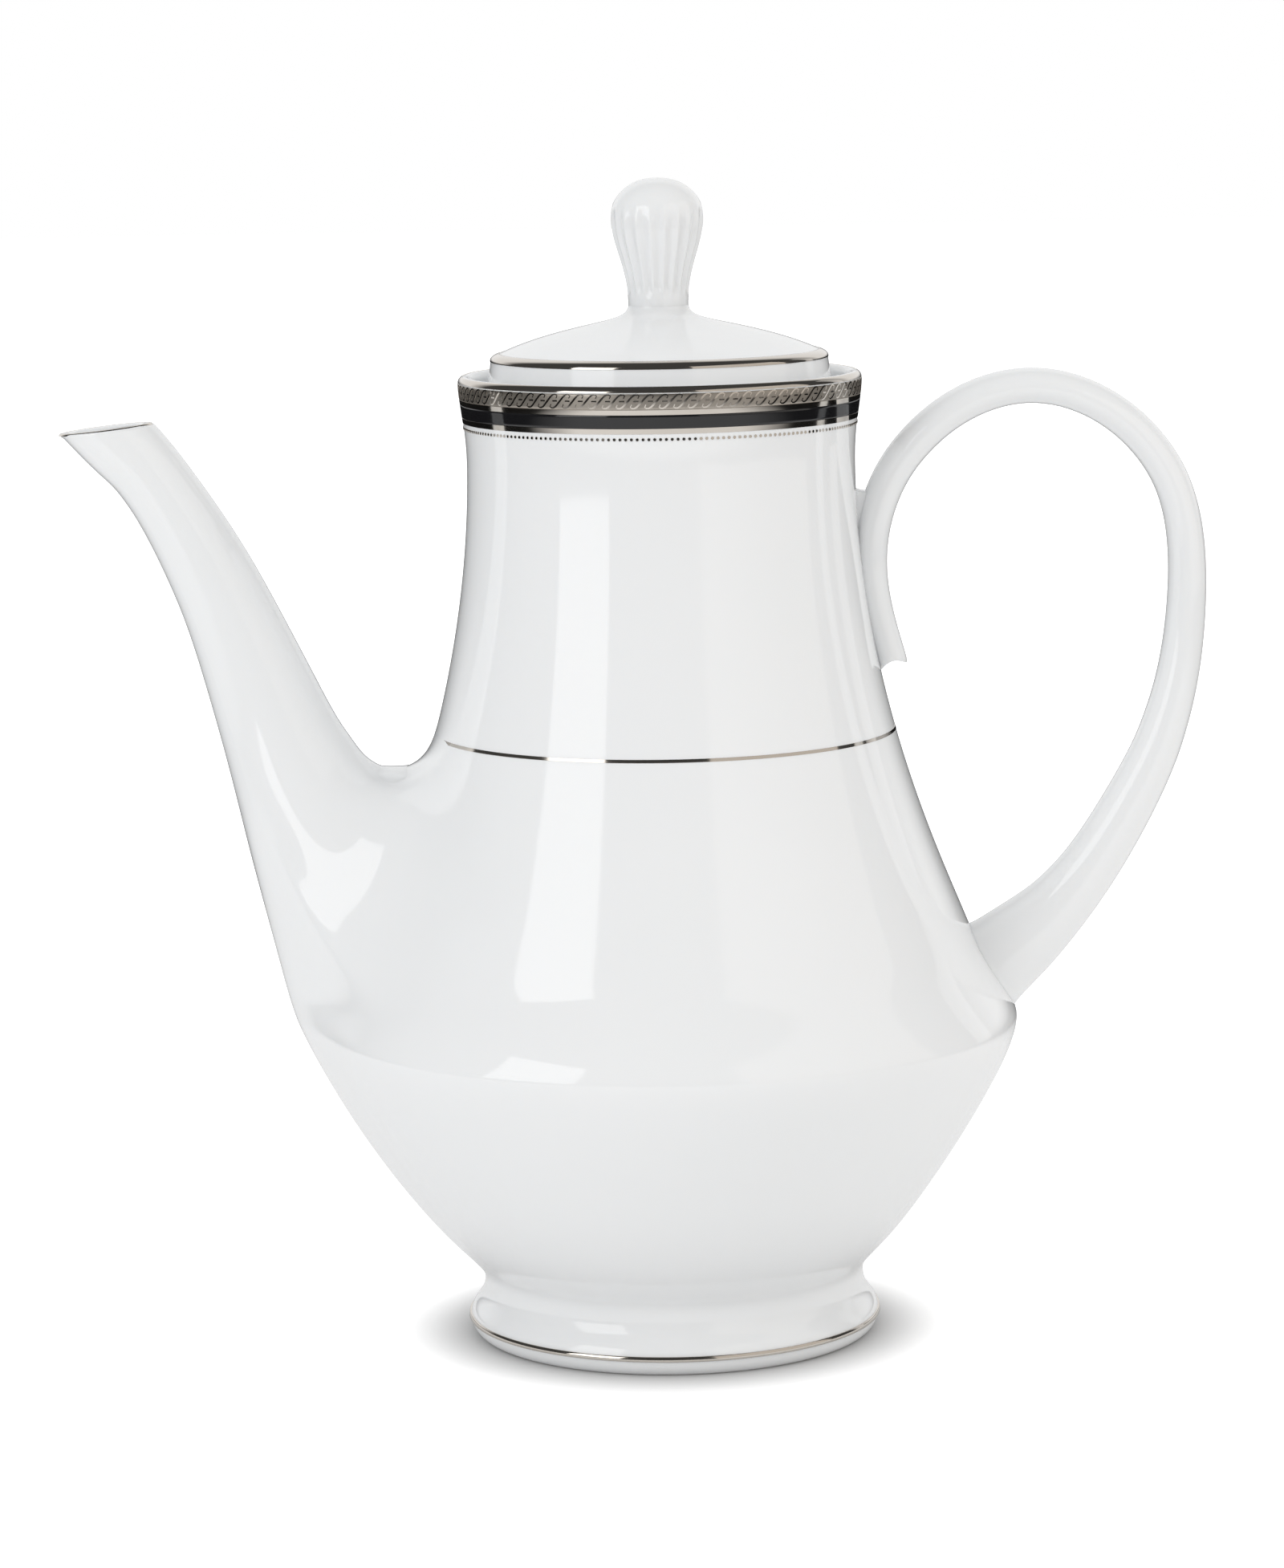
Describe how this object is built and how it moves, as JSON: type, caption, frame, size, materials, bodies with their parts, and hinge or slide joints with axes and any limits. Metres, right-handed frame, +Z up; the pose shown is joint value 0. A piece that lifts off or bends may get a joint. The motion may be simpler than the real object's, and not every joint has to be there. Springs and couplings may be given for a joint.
{
  "type": "coffee pot",
  "caption": "tall footed porcelain coffee pot with a long spout, a looped handle and a lift-off domed lid with a fluted knob, trimmed with metal bands and one black band",
  "frame": {"origin": "on the table under the middle of the foot", "axes": "+Z up, spout towards -X, handle towards +X"},
  "size_m": [0.2455, 0.1506, 0.2499],
  "materials": {
    "porcelain": "glossy white glaze",
    "platinum_bright": "bright fired-on metal",
    "platinum_satin": "satin fired-on metal",
    "black_enamel": "glossy black enamel"
  },
  "bodies": {
    "pot": {"pot_body": "porcelain", "foot_ring": "porcelain", "spout": "porcelain", "handle": "porcelain", "rim_edge": "platinum_bright", "rim_frieze": "platinum_satin", "rim_stripe_upper": "platinum_bright", "rim_black_band": "black_enamel", "rim_stripe_lower": "platinum_bright", "neck_line": "platinum_bright", "foot_line": "platinum_bright", "spout_lip_line": "platinum_bright"},
    "lid": {"lid": "porcelain", "lid_knob": "porcelain", "lid_line": "platinum_bright"}
  },
  "joints": [
    {"name": "lid_lift", "type": "slide", "parent": "pot", "child": "lid", "axis": [0, 0, 1], "range_m": [0, 0.06]}
  ]
}
